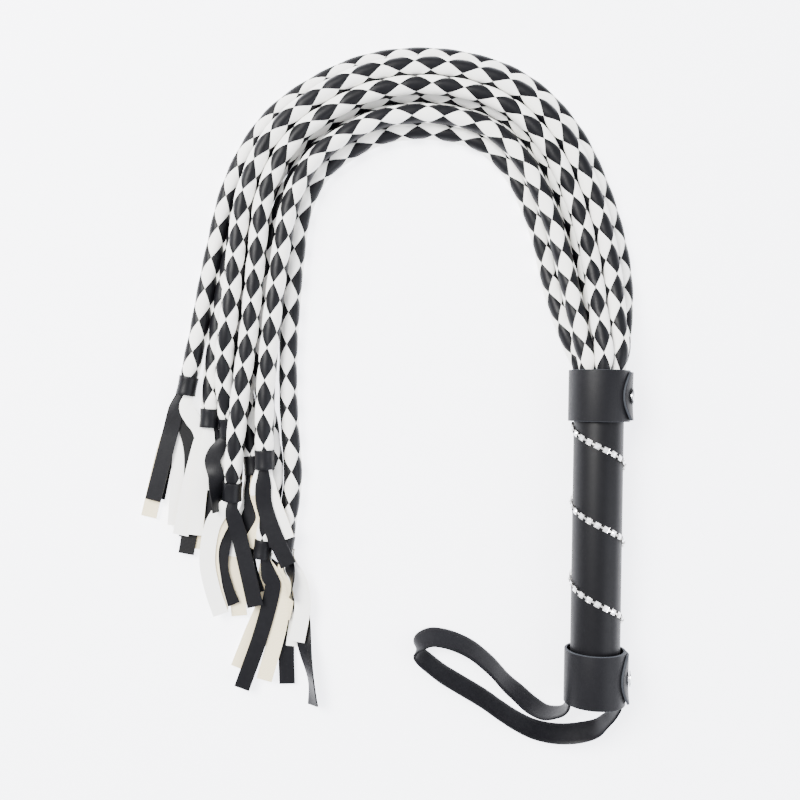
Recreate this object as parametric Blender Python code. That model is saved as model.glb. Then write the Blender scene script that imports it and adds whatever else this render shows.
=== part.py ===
"""Braided multi-tail whip with a wrist loop: handle, two snap collars, eight tails with fringes.

Origin at the centre of the butt face, +Y along the handle to the tails, +Z up, metres.
It lies on a flat surface at z = -COLLAR_RADIUS.
"""

import math

import bmesh
import bpy
import numpy as np
from mathutils import Matrix, Vector

MM = 0.001
GAP = 0.3

# Handle, measured along +Y from the butt face
CORE_RADIUS = 12.3
BUTT_THICKNESS = 2.0
GRIP_RADIUS = 13.5
GRIP_START, GRIP_END = 0.4, 157.7
SPIGOT_RADIUS = 8.0
SPIGOT_END = 178.0
MOUTH = 180.0

# Collars: a leather band each, closed by a snap flap on the +X side
COLLAR_RADIUS = 16.6
LEATHER = 1.4
UPPER_COLLAR = (152.0, MOUTH)
LOWER_COLLAR = (-2.0, 27.0)
UPPER_SNAP, UPPER_TIP = math.radians(24), math.radians(50)
LOWER_SNAP, LOWER_TIP = math.radians(14), math.radians(42)
FLAP_WIDTH = 26.0
FLAP_ROOT = math.radians(-45)
FLAP_NOSE = math.radians(20)
SNAP_HOLE_RADIUS = 3.2
CAP_RADIUS, CAP_DOME = 4.5, 1.7
SOCKET_RADIUS, SOCKET_BORE = 2.9, 1.9
STUD_RADIUS = 1.2

# Crystal chain wound round the grip
CHAIN_RADIUS = 0.9
CHAIN_COIL_RADIUS = GRIP_RADIUS + 1.5
CHAIN_LEAD = 42.3
CHAIN_FRONT_Y = 136.5
CHAIN_START, CHAIN_STOP = 149.5, 30.0

# Wrist strap
STRAP_WIDTH = 12.0
STRAP_THICKNESS = 1.2
STRAP_PIVOT = Vector((14.4, -9.5, 0))
STRAP_ROUTE = [
    (-17.5, -11.2, -1.0), (-26.2, -11.8, -5.0), (-33.3, -8.8, -9.0), (-40.4, -2.8, -11.6),
    (-47.1, 4.2, -12.3), (-55.7, 13.3, -12.3), (-65.9, 21.5, -12.3), (-75.3, 26.1, -12.3),
    (-83.8, 28.4, -12.3), (-90.3, 28.6, -12.3), (-95.8, 25.9, -12.3), (-97.5, 21.9, -12.3),
    (-95.3, 18.2, -12.3), (-90.6, 14.2, -12.3), (-82.6, 8.2, -12.3), (-74.1, 3.2, -12.3),
    (-59.9, -5.0, -12.3), (-50.5, -11.4, -12.3), (-41.1, -17.3, -12.3), (-31.6, -21.8, -12.2),
    (-23.2, -23.7, -11.6), (-14.8, -23.8, -10.2), (-5.9, -22.1, -8.0), (2.4, -18.6, -5.2),
    (9.3, -14.6, -2.2),
]
STRAP_LEAN = Vector((0, -0.72, 0.694))

# Tails: offsets from one shared route, outwards and up, at distances along it
TAIL_RADIUS = 4.9
TAIL_START, TAIL_STEP = 1.8, 22.0
BINDER_RADIUS, BINDER_LENGTH = 5.2, 10.5
FLOOR_TAIL = -COLLAR_RADIUS + BINDER_RADIUS
TAIL_ROUTE = [
    (0, 180), (-0.2, 190), (-2.5, 206), (-7, 239), (-16, 271), (-32, 303), (-56, 325), (-90, 334),
    (-125, 331), (-154, 317), (-173, 300), (-186, 274), (-192, 244), (-197, 203), (-199, 166),
    (-198, 133), (-194, 99), (-189, 69), (-184, 40),
]
TAILS = {
    "a": [(0, 11.35, -2.6), (25, 16, -4.5), (42, 19.2, -8.4), (60, 20.6, -11.4), (110, 20.4, -11.4),
          (290, 20.6, -11.4), (390, 24.8, -11.4), (427, 29.7, -11.4)],
    "b": [(0, 5.05, -10.5), (25, 8.5, -11.3), (60, 10.3, -11.4), (110, 10.2, -11.4),
          (290, 10.4, -11.4), (390, 14.5, -11.4), (444, 17, -11.4)],
    "c": [(0, 9.1, 7.3), (25, 10.5, 5.2), (60, 12, -0.4), (110, 12.2, -0.9),
          (290, 11, -0.9), (390, 7.4, -0.9), (410, 8.4, -3.9), (425, 8, -6),
          (435, 7.3, -8), (449, 6.2, -9.8)],
    "d": [(0, 0, 11.6), (25, 0.4, 8.2), (60, 1.4, 0.2), (110, 1.6, -0.9),
          (290, 0.5, -0.9), (390, -4.4, -0.9), (440, -1, -0.9), (484, 6, -6)],
    "e": [(0, 0, 0), (25, 0, -2.4), (60, 0, -10.2), (90, 0, -11.4),
          (290, 0.1, -11.4), (390, 3.8, -11.4), (430, -2.5, -11.4), (455, -5.5, -11.4), (471, -6.2, -11.4)],
    "f": [(0, -9.1, 7.3), (25, -10.5, 5.2), (60, -13, -0.4), (110, -14, -0.9),
          (290, -15, -0.9), (390, -16.3, -0.9), (468, -14.5, -0.9)],
    "g": [(0, -11.35, -2.6), (25, -16, -4.5), (42, -19.2, -8.4), (60, -20.6, -11.4), (110, -20.4, -11.4),
          (290, -20.8, -11.4), (390, -25, -11.4), (471, -28.2, -11.4), (519, -18, -11.4)],
    "h": [(0, -5.05, -10.5), (25, -8.5, -11.3), (60, -10.3, -11.4), (110, -10.2, -11.4),
          (290, -10.3, -11.4), (390, -7, -11.4), (430, -13, -11.4), (450, -16.3, -11.4), (471, -17.6, -11.4), (519, -5.6, -11.4)],
}

# Fringes: the strips' joint width, and the points of their middle after the binder
FRINGE_START_WIDTH, FRINGE_START_DEPTH = 8.0, 3.2
FRINGE_DEPTH = 2.0
FRINGES = {
    "a": (16.0, [(-234.5, 143, -15), (-241.5, 123, -15.4), (-250, 96, -15.4)]),
    "b": (16.0, [(-218.5, 135, -14.6), (-221.5, 126, -15.4), (-224.5, 103.5, -15.4), (-227.8, 78, -15.4)]),
    "c": (15.0, [(-209, 129, -10.8), (-213, 112, -12.4), (-213, 92, -12.7)]),
    "d": (16.0, [(-209, 88, -9.6), (-213, 75, -12.6), (-208.5, 57, -15.2), (-204.5, 40, -15.4)]),
    "e": (8.0, [(-192, 106, -14.6), (-195, 92, -15.4), (-197.5, 78, -15.4), (-195.5, 60, -15.4)]),
    "f": (16.0, [(-182, 108, -3.6), (-180, 98, -4.8), (-173, 70, -4.8)]),
    "g": (16.0, [(-167, 56, -15), (-163.5, 36, -15.4), (-162, 3, -15.4)]),
    "h": (16.0, [(-183, 54, -15), (-181, 34, -15.4), (-185, 3, -15.4)]),
}


def clear_scene():
    for obj in list(bpy.data.objects):
        bpy.data.objects.remove(obj, do_unlink=True)


def material(name, colour, roughness, metallic=0.0):
    made = bpy.data.materials.new(name)
    made.use_nodes = True
    shader = made.node_tree.nodes["Principled BSDF"]
    shader.inputs["Base Color"].default_value = (*colour, 1)
    shader.inputs["Roughness"].default_value = roughness
    shader.inputs["Metallic"].default_value = metallic
    return made


def add(name, data, look, parent=None):
    """Put a mesh or a curve into the scene under its node name, in millimetres."""
    obj = bpy.data.objects.new(name, data)
    bpy.context.collection.objects.link(obj)
    obj.scale = (MM, MM, MM)
    data.materials.append(look)
    if parent:
        obj.parent = parent
        obj.matrix_parent_inverse = parent.matrix_world.inverted()
    return obj


def pivot(name, location):
    """An empty on a joint's axis, for the pieces that turn about it."""
    empty = bpy.data.objects.new(name, None)
    bpy.context.collection.objects.link(empty)
    empty.location = Vector(location) * MM
    empty.empty_display_size = 0.01
    bpy.context.view_layer.update()
    return empty


def finish(bm, name, look, parent=None):
    bmesh.ops.recalc_face_normals(bm, faces=bm.faces)
    mesh = bpy.data.meshes.new(name)
    bm.to_mesh(mesh)
    bm.free()
    obj = add(name, mesh, look, parent)
    mesh.shade_smooth()
    mesh.set_sharp_from_angle(angle=math.radians(35))
    return obj


def lathe(name, profile, look, place=Matrix(), steps=40, parent=None):
    """Turn (radius, height) points about local Z. A profile that leaves the axis is closed as a ring."""
    bm = bmesh.new()
    verts = [bm.verts.new((radius, 0, height)) for radius, height in profile]
    ends_on_axis = profile[0][0] == 0 and profile[-1][0] == 0
    pairs = zip(verts, verts[1:] if ends_on_axis else verts[1:] + verts[:1])
    edges = [bm.edges.new(pair) for pair in pairs]
    bmesh.ops.spin(bm, geom=verts + edges, cent=(0, 0, 0), axis=(0, 0, 1), angle=math.tau, steps=steps)
    bmesh.ops.remove_doubles(bm, verts=bm.verts, dist=1e-4)
    bm.transform(place)
    return finish(bm, name, look, parent)


def along_y():
    """Turns a lathe's height into +Y."""
    return Matrix.Rotation(math.radians(-90), 4, "X")


def along_x():
    """Turns a lathe's height into +X."""
    return Matrix.Rotation(math.radians(90), 4, "Y")


def ring_profile(inner, outer, start, end, edge=0.3):
    return [
        (inner, start), (outer - edge, start), (outer, start + edge),
        (outer, end - edge), (outer - edge, end), (inner, end),
    ]


def catmull_rom(points, fineness=12):
    """A smooth curve through the points, as a fine polyline."""
    knots = np.array(points, float)
    knots = np.vstack([2 * knots[0] - knots[1], knots, 2 * knots[-1] - knots[-2]])
    found = []
    for a, b, c, d in zip(knots, knots[1:], knots[2:], knots[3:]):
        for t in np.arange(fineness) / fineness:
            found.append(
                0.5 * (2 * b + (c - a) * t + (2 * a - 5 * b + 4 * c - d) * t**2 + (3 * b - a - 3 * c + d) * t**3)
            )
    return np.vstack([found, knots[-2]])


def travelled(points):
    steps = np.linalg.norm(np.diff(points, axis=0), axis=1)
    return np.concatenate([[0], np.cumsum(steps)])


def at_distance(points, distance):
    along = travelled(points)
    return np.stack([np.interp(distance, along, points[:, k]) for k in range(points.shape[1])], axis=-1)


def smooth_keys(keys, distance):
    """Cubic values between (distance, value, ...) keys, with slopes that never overshoot."""
    keys = np.array(keys, float)
    place, value = keys[:, 0], keys[:, 1:]
    rise = np.diff(value, axis=0) / np.diff(place)[:, None]
    slope = np.zeros_like(value)
    same_way = rise[1:] * rise[:-1] > 0
    slope[1:-1] = np.where(same_way, 2 * rise[1:] * rise[:-1] / np.where(same_way, rise[1:] + rise[:-1], 1), 0)
    slope[-1] = rise[-1]
    k = np.clip(np.searchsorted(place, distance, side="right") - 1, 0, len(place) - 2)
    width = (place[k + 1] - place[k])[:, None]
    t = (distance[:, None] - place[k][:, None]) / width
    h00, h01 = 2 * t**3 - 3 * t**2 + 1, 3 * t**2 - 2 * t**3
    h10, h11 = t**3 - 2 * t**2 + t, t**3 - t**2
    return h00 * value[k] + h01 * value[k + 1] + width * (h10 * slope[k] + h11 * slope[k + 1])


def tube(name, points, radius, look, parent=None):
    curve = bpy.data.curves.new(name, "CURVE")
    curve.dimensions = "3D"
    curve.bevel_depth = radius
    curve.bevel_resolution = 2
    curve.use_fill_caps = True
    spline = curve.splines.new("POLY")
    spline.points.add(len(points) - 1)
    for point, place in zip(spline.points, points):
        point.co = (*place, 1)
    spline.use_smooth = True
    return add(name, curve, look, parent)


def swept_slab(name, stations, look, parent=None):
    """A closed strip through stations of (centre, half width vector, half thickness vector)."""
    bm = bmesh.new()
    rings = []
    for centre, across, through in stations:
        corners = (centre - across - through, centre + across - through,
                   centre + across + through, centre - across + through)
        rings.append([bm.verts.new(corner) for corner in corners])
    for ring, following in zip(rings, rings[1:]):
        for k in range(4):
            bm.faces.new((ring[k], ring[k - 1], following[k - 1], following[k]))
    bm.faces.new(rings[0])
    bm.faces.new(rings[-1][::-1])
    return finish(bm, name, look, parent)


def handle_solids(leather, wood):
    lathe("handle_core", [
        (0, BUTT_THICKNESS + GAP), (CORE_RADIUS, BUTT_THICKNESS + GAP), (CORE_RADIUS, 158.0),
        (SPIGOT_RADIUS, 158.0), (SPIGOT_RADIUS, SPIGOT_END), (0, SPIGOT_END),
    ], wood, along_y())
    lathe("butt_disc", [(0, 0), (CORE_RADIUS, 0), (CORE_RADIUS, BUTT_THICKNESS), (0, BUTT_THICKNESS)],
          leather, along_y())
    lathe("grip_wrap", ring_profile(CORE_RADIUS + GAP, GRIP_RADIUS, GRIP_START, GRIP_END), leather, along_y())
    lathe("root_bundle", ring_profile(SPIGOT_RADIUS + GAP, 14.8, 158.3, 179.4, 1.0), leather, along_y())


def crystal_chain(silver):
    degrees = np.arange(0, 360 * (CHAIN_START - CHAIN_STOP) / CHAIN_LEAD + 1, 20)
    heights = CHAIN_START - CHAIN_LEAD * degrees / 360
    angle = np.radians(90 + 360 * (heights - CHAIN_FRONT_Y) / CHAIN_LEAD)
    points = np.stack([CHAIN_COIL_RADIUS * np.cos(angle), heights, CHAIN_COIL_RADIUS * np.sin(angle)], axis=1)
    tube("crystal_chain", points, CHAIN_RADIUS, silver)


def flap(name, centre_y, tip, at_snap, leather, parent):
    """The tongue of a collar: a bent leather strip with a round nose and a hole for its snap."""
    middle = COLLAR_RADIUS + GAP + LEATHER / 2
    stations = []
    for angle in np.linspace(FLAP_ROOT, tip, 29):
        taper = math.sqrt(min(1.0, (tip - angle) / FLAP_NOSE))
        half = FLAP_WIDTH / 2 * max(0.2, taper)
        radial = Vector((math.cos(angle), 0, math.sin(angle)))
        stations.append((radial * middle + Vector((0, centre_y, 0)), Vector((0, half, 0)), radial * LEATHER / 2))
    tongue = swept_slab(name, stations, leather, parent)
    hole = lathe(name + "_hole", [(0, 10), (SNAP_HOLE_RADIUS, 10), (SNAP_HOLE_RADIUS, 25), (0, 25)],
                 leather, at_snap, 24)
    cut(tongue, hole)


def cut(obj, cutter):
    cutter.hide_render = True
    cutter.display_type = "WIRE"
    modifier = obj.modifiers.new("Hole", "BOOLEAN")
    modifier.operation = "DIFFERENCE"
    modifier.object = cutter


def collar(name, ends, snap_angle, tip, leather, chrome):
    """Band, snap flap, and the snap's cap, socket and stud."""
    band = lathe(name + "_collar_band", ring_profile(COLLAR_RADIUS - LEATHER, COLLAR_RADIUS, *ends),
                 leather, along_y(), 48)
    middle = sum(ends) / 2
    at_snap = Matrix.Translation((0, middle, 0)) @ Matrix.Rotation(-snap_angle, 4, "Y") @ along_x()
    hole = lathe(name + "_stud_hole", [(0, 10), (STUD_RADIUS + GAP, 10), (STUD_RADIUS + GAP, 25), (0, 25)],
                 leather, at_snap, 16)
    cut(band, hole)
    reach = COLLAR_RADIUS + GAP + LEATHER / 2
    hinge = pivot(name + "_flap_pivot", (reach * math.cos(FLAP_ROOT), middle, reach * math.sin(FLAP_ROOT)))
    flap(name + "_collar_flap", middle, tip, at_snap, leather, hinge)
    inner, outer = COLLAR_RADIUS + GAP, COLLAR_RADIUS + GAP + LEATHER
    base = outer + GAP
    lathe(name + "_snap_cap", [
        (0, base), (CAP_RADIUS, base), (CAP_RADIUS, base + 0.5), (0.8 * CAP_RADIUS, base + 1.2),
        (0.45 * CAP_RADIUS, base + 1.6), (0, base + CAP_DOME),
    ], chrome, at_snap, 24, hinge)
    lathe(name + "_snap_socket", [
        (SOCKET_BORE, inner), (SOCKET_RADIUS, inner), (SOCKET_RADIUS, outer), (SOCKET_BORE, outer),
    ], chrome, at_snap, 24, hinge)
    lathe(name + "_snap_stud", [
        (0, COLLAR_RADIUS - LEATHER - 0.1), (STUD_RADIUS, COLLAR_RADIUS - LEATHER - 0.1),
        (STUD_RADIUS, inner + 0.4), (0.7 * STUD_RADIUS, inner + 0.7), (0, inner + 0.7),
    ], chrome, at_snap, 16)


def strap_ends(leather):
    """The two ends of the wrist strap, held between the grip and the lower collar."""
    half = 0.5 * STRAP_WIDTH / STRAP_PIVOT.x
    for name, side in (("strap_end_right", 1), ("strap_end_left", -1)):
        stations = []
        for angle in np.linspace(-half, half, 9):
            radial = Vector((side * math.cos(angle), 0, math.sin(angle)))
            centre = radial * (STRAP_PIVOT.x - 0.05) + Vector((0, 9.5, 0))
            stations.append((centre, Vector((0, 11.0, 0)), radial * 0.55))
        swept_slab(name, stations, leather)


def wrist_strap(leather):
    """The loop outside the collar, from one rounded end through the hairpin to the other."""
    hinge = pivot("wrist_loop_pivot", (0, STRAP_PIVOT.y, 0))
    left = Vector((-STRAP_PIVOT.x, STRAP_PIVOT.y, 0))
    path = catmull_rom([left, *STRAP_ROUTE, STRAP_PIVOT])
    length = travelled(path)[-1]
    places = np.linspace(0, length, 61)
    points = [Vector(p) for p in at_distance(path, places)]
    stations = []
    for k, point in enumerate(points):
        tangent = (points[min(k + 1, 60)] - points[max(k - 1, 0)]).normalized()
        from_end = min(places[k], length - places[k])
        lean = min(1.0, max(0.0, from_end / 32))
        across = Vector((0, 0, 1)).lerp(STRAP_LEAN, lean * lean * (3 - 2 * lean))
        across = (across - tangent * across.dot(tangent)).normalized()
        through = tangent.cross(across).normalized() * STRAP_THICKNESS / 2
        point.z = max(point.z, -COLLAR_RADIUS + abs(across.z) * STRAP_WIDTH / 2 + abs(through.z))
        stations.append((point, across * STRAP_WIDTH / 2, through))
    half = STRAP_WIDTH / 2
    for end, order in ((left, 1), (STRAP_PIVOT, -1)):
        tips = []
        for reach in (0, 2.4, 4.2, 5.4, 5.85):
            across = Vector((0, 0, math.sqrt(half**2 - reach**2)))
            through = Vector((-order * STRAP_THICKNESS / 2, 0, 0))
            tips.append((end + Vector((0, reach, 0)), across, through))
        stations = tips[::-1] + stations[1:] if order == 1 else stations[:-1] + tips
    swept_slab("wrist_strap", stations, leather, hinge)


def tail_points(keys):
    """Distances along the shared route, and the centre line of one tail at them, to its binder's middle."""
    centre = catmull_rom([(x, y, 0) for x, y in TAIL_ROUTE])
    distance = np.linspace(0, keys[-1][0], 500)
    spots = at_distance(centre, distance)
    ahead = at_distance(centre, distance + 1.0) - at_distance(centre, np.maximum(distance - 1.0, 0))
    ahead /= np.linalg.norm(ahead, axis=1)[:, None]
    outwards = np.stack([ahead[:, 1], -ahead[:, 0]], axis=1)
    offset = smooth_keys(keys, distance)
    spots[:, :2] += outwards * offset[:, :1]
    spots[:, 2] = offset[:, 1]
    return distance, spots


def tail(letter, leathers, hinge):
    """One braided tail, its binder and its fringe. All tails have their points at the same distances."""
    distance, fine = tail_points(TAILS[letter])
    along = travelled(fine)
    stop = along[-1] - BINDER_LENGTH / 2 - GAP
    last = np.interp(stop, along, distance)
    places = [TAIL_START, *np.arange(TAIL_STEP, last - TAIL_STEP / 2, TAIL_STEP), last]
    points = at_distance(fine, np.interp(places, distance, along))
    tube("tail_" + letter, points, TAIL_RADIUS, leathers["braid"], hinge)

    end = Vector(points[-1])
    heading = (end - Vector(points[-2])).normalized()
    turn = heading.to_track_quat("Z", "Y").to_matrix().to_4x4()
    edge = 0.8
    lathe("binder_" + letter, [
        (0, 0), (BINDER_RADIUS - edge, 0), (BINDER_RADIUS, edge), (BINDER_RADIUS, BINDER_LENGTH - edge),
        (BINDER_RADIUS - edge, BINDER_LENGTH), (0, BINDER_LENGTH),
    ], leathers["black"], Matrix.Translation(end + heading * GAP) @ turn, 16, hinge)

    start = end + heading * (BINDER_LENGTH + 3 * GAP)
    full_width, spots = FRINGES[letter]
    route = [start, start + heading * 6, *spots]
    path = catmull_rom(route)
    length = travelled(path)[-1]
    stations = []
    for share in np.linspace(0, 1, 12):
        point = Vector(at_distance(path, share * length))
        tangent = (Vector(at_distance(path, min(length, share * length + 0.5)))
                   - Vector(at_distance(path, max(0, share * length - 0.5)))).normalized()
        spread = min(1.0, share / 0.4)
        width = FRINGE_START_WIDTH + (full_width - FRINGE_START_WIDTH) * spread
        depth = FRINGE_START_DEPTH + (FRINGE_DEPTH - FRINGE_START_DEPTH) * spread
        lowest = -COLLAR_RADIUS + depth / 2
        point.z = max(lowest, point.z)
        across = tangent.cross(Vector((0, 0, 1))).normalized()
        stations.append((point, across * width / 2, across.cross(tangent) * depth / 2))
    swept_slab("fringe_" + letter, stations, leathers["white"], hinge)


def main():
    clear_scene()
    black = material("black_leather", (0.02, 0.02, 0.022), 0.45)
    wood = material("dowel_wood", (0.5, 0.34, 0.18), 0.7)
    chrome = material("snap_chrome", (0.8, 0.8, 0.82), 0.15, 1.0)
    silver = material("chain_silver", (0.85, 0.87, 0.9), 0.1, 1.0)
    leathers = {
        "black": black,
        "braid": material("braided_leather", (0.35, 0.35, 0.36), 0.5),
        "white": material("white_leather", (0.85, 0.84, 0.82), 0.6),
    }
    handle_solids(black, wood)
    collar("upper", UPPER_COLLAR, UPPER_SNAP, UPPER_TIP, black, chrome)
    collar("lower", LOWER_COLLAR, LOWER_SNAP, LOWER_TIP, black, chrome)
    strap_ends(black)
    wrist_strap(black)
    crystal_chain(silver)
    hinge = pivot("tails_pivot", (0, MOUTH, -COLLAR_RADIUS))
    for letter in TAILS:
        tail(letter, leathers, hinge)


main()
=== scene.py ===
"""Braided multi-tail whip with a wrist loop: leather, crystal chain and chrome on its CAD frame."""
import math

import bmesh
import bpy
import numpy as np
from mathutils import Matrix, Vector


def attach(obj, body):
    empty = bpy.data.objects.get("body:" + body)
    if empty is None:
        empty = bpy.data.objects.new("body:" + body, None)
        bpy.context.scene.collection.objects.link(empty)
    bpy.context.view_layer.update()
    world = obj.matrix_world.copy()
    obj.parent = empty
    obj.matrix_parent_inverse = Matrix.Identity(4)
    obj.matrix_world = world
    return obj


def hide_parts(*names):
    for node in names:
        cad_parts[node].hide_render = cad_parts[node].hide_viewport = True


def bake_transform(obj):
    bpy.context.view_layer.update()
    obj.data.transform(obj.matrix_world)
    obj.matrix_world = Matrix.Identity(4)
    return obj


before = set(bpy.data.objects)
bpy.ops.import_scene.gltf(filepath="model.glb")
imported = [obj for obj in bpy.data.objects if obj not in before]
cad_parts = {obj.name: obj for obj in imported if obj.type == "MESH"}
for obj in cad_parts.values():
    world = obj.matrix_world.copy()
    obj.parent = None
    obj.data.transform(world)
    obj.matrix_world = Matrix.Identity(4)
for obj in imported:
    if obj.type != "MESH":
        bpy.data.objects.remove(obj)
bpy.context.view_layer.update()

# ---------------------------------------------------------------------------------------------
# Table, lights and camera. The whip lies flat on a pale sheet in a studio tent: one big soft
# light above and to the left, a fill on the right, and the camera straight above it.
MM = 0.001
TABLE_TOP = -16.95
TABLE_HALF = 2.5
CAMERA_PLACE = (-0.1093, 0.1619, 0.4833)
CAMERA_ROLL = math.radians(0.94)
CAMERA_LENS = 39.6
LIGHT_AIM = (-0.1, 0.15, 0)
TENT_GLOW = 1.75
PAPER_GLOW = 3.2

camera = bpy.data.objects.new("camera", bpy.data.cameras.new("camera"))
bpy.context.scene.collection.objects.link(camera)
camera.location = CAMERA_PLACE
camera.rotation_euler = (0, 0, CAMERA_ROLL)
camera.data.lens = CAMERA_LENS
camera.data.sensor_width = 36
camera.data.clip_start = 0.01
bpy.context.scene.camera = camera


def soft_light(name, place, size, watts, colour):
    """A square lamp hung at a place and turned towards the whip."""
    lamp = bpy.data.lights.new(name, "AREA")
    lamp.shape = "SQUARE"
    lamp.size = size
    lamp.energy = watts
    lamp.color = colour
    obj = bpy.data.objects.new(name, lamp)
    bpy.context.scene.collection.objects.link(obj)
    obj.location = place
    obj.rotation_euler = (Vector(LIGHT_AIM) - Vector(place)).to_track_quat("-Z", "Y").to_euler()


soft_light("key", (-0.75, 0.65, 1.1), 0.7, 62, (1.0, 0.99, 0.97))
soft_light("fill", (0.9, -0.3, 0.8), 1.0, 18, (0.93, 0.95, 1.0))

studio = bpy.data.worlds.new("studio")
studio.use_nodes = True
tent = studio.node_tree.nodes["Background"]
tent.inputs["Color"].default_value = (0.93, 0.94, 1.0, 1)
tent.inputs["Strength"].default_value = TENT_GLOW
bpy.context.scene.world = studio


class Wire:
    """A socket in a shader tree. Arithmetic on it adds Math nodes, and node() adds any other."""

    def __init__(self, tree, socket=None):
        self.tree = tree
        self.socket = socket

    def node(self, kind, settings=(), inputs=(), out=0):
        made = self.tree.nodes.new(kind)
        for key, value in dict(settings).items():
            setattr(made, key, value)
        for key, value in dict(inputs).items():
            if isinstance(value, Wire):
                self.tree.links.new(value.socket, made.inputs[key])
            else:
                made.inputs[key].default_value = value
        return Wire(self.tree, made.outputs[out])

    def math(self, operation, *values):
        return self.node("ShaderNodeMath", {"operation": operation}, dict(enumerate(values)))

    def __add__(self, other):
        return self.math("ADD", self, other)

    def __mul__(self, other):
        return self.math("MULTIPLY", self, other)

    __radd__ = __add__
    __rmul__ = __mul__

    def blend(self, low, high):
        """A colour between two, by this value."""
        return self.node("ShaderNodeMix", {"data_type": "RGBA"}, {0: self, 6: low, 7: high}, 2)


def finish_named(name, constants):
    """A new material, its first wire, its Principled node and its object coordinates."""
    made = bpy.data.materials.new(name)
    made.use_nodes = True
    tree = made.node_tree
    shader = tree.nodes["Principled BSDF"]
    for key, value in constants.items():
        shader.inputs[key].default_value = value
    wire = Wire(tree)
    return made, wire, shader, wire.node("ShaderNodeTexCoord", out="Object")


def feed(wire, shader, **values):
    """Link values to the shader's inputs, whose names are given with underscores for spaces."""
    for key, value in values.items():
        wire.tree.links.new(value.socket, shader.inputs[key.replace("_", " ")])


paper_look = {"Specular IOR Level": 0.1, "Emission Strength": PAPER_GLOW}
table_paper, wire, shader, place = finish_named("table_paper", paper_look)
fibres = wire.node("ShaderNodeTexNoise", (), {"Vector": place, "Scale": 90.0, "Detail": 6.0})
feed(wire, shader, Base_Color=fibres.blend((0.885, 0.89, 0.92, 1), (0.9, 0.905, 0.93, 1)),
     Roughness=fibres * 0.1 + 0.75,
     Emission_Color=fibres.blend((0.86, 0.87, 0.93, 1), (0.9, 0.9, 0.95, 1)))
sheet = bmesh.new()
bmesh.ops.create_grid(sheet, x_segments=2, y_segments=2, size=TABLE_HALF)
bmesh.ops.translate(sheet, vec=(0, 0, TABLE_TOP * MM), verts=sheet.verts)
table = bpy.data.objects.new("table", bpy.data.meshes.new("table"))
sheet.to_mesh(table.data)
sheet.free()
table.data.materials.append(table_paper)
bpy.context.scene.collection.objects.link(table)

# ---------------------------------------------------------------------------------------------
# The eight tails. Each is a round braid of six leather laces, three black that wind one way and
# three white that wind the other, each passing over one and under one. They leave the upper
# collar in a bundle, fan out flat and swing round in one arc.
MOUTH = 180.0
HIDDEN = 10.0
BRAID_RADIUS = 4.25
BRAID_SWELL = 0.5
BRAID_PERIOD = 17.8
BRAID_SHORT_OF_END = 9
LACE = 0.8
LACE_FILL = 0.975
LACE_CROWN = 0.22
CROSSING_SHARPNESS = 1.7
STEPS_PER_CROSSING = 8
BUNDLE_SQUEEZE = 0.14
COLLAR_SQUEEZE = 0.12
BINDER_SQUEEZE = 0.15
BINDER_LENGTH = 10.5
GAP = 0.3
TAIL_ROUTE = [
    (0, 180), (-0.2, 190), (-2.5, 206), (-7, 239), (-16, 271), (-32, 303), (-56, 325), (-90, 334),
    (-125, 331), (-154, 317), (-173, 300), (-186, 274), (-192, 244), (-197, 203), (-199, 166),
    (-198, 133), (-194, 99), (-189, 69), (-184, 40),
]
# For each tail, distances along the route with the braid's offset from it there, outwards and up
TAILS = {
    "a": [(0, 11.35, -2.6), (25, 16, -4.5), (42, 19.2, -8.4), (60, 20.6, -11.4), (110, 20.4, -11.4),
          (290, 20.6, -11.4), (390, 24.8, -11.4), (427, 29.7, -11.4)],
    "b": [(0, 5.05, -10.5), (25, 8.5, -11.3), (60, 10.3, -11.4), (110, 10.2, -11.4),
          (290, 10.4, -11.4), (390, 14.5, -11.4), (444, 17, -11.4)],
    "c": [(0, 9.1, 7.3), (25, 10.5, 5.2), (60, 12, -0.4), (110, 12.2, -0.9),
          (290, 11, -0.9), (390, 7.4, -0.9), (410, 8.4, -3.9), (425, 8, -6),
          (435, 7.3, -8), (449, 6.2, -9.8)],
    "d": [(0, 0, 11.6), (25, 0.4, 8.2), (60, 1.4, 0.2), (110, 1.6, -0.9),
          (290, 0.5, -0.9), (390, -4.4, -0.9), (440, -1, -0.9), (484, 6, -6)],
    "e": [(0, 0, 0), (25, 0, -2.4), (60, 0, -10.2), (90, 0, -11.4),
          (290, 0.1, -11.4), (390, 3.8, -11.4), (430, -2.5, -11.4), (455, -5.5, -11.4),
          (471, -6.2, -11.4)],
    "f": [(0, -9.1, 7.3), (25, -10.5, 5.2), (60, -13, -0.4), (110, -14, -0.9),
          (290, -15, -0.9), (390, -16.3, -0.9), (468, -14.5, -0.9)],
    "g": [(0, -11.35, -2.6), (25, -16, -4.5), (42, -19.2, -8.4), (60, -20.6, -11.4), (110, -20.4, -11.4),
          (290, -20.8, -11.4), (390, -25, -11.4), (471, -28.2, -11.4), (519, -18, -11.4)],
    "h": [(0, -5.05, -10.5), (25, -8.5, -11.3), (60, -10.3, -11.4), (110, -10.2, -11.4),
          (290, -10.3, -11.4), (390, -7, -11.4), (430, -13, -11.4), (450, -16.3, -11.4),
          (471, -17.6, -11.4), (519, -5.6, -11.4)],
}
# How far each braid is turned about itself at its two ends, in degrees, and where its pattern starts
BRAID_TURN = {
    "a": (50, 62, 3), "b": (75, 38, 9), "c": (20, 4, 0), "d": (-15, 4, 10),
    "e": (30, 5, 5), "f": (64, -6, 6), "g": (-40, -58, 12), "h": (40, 10, 2),
}


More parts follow.
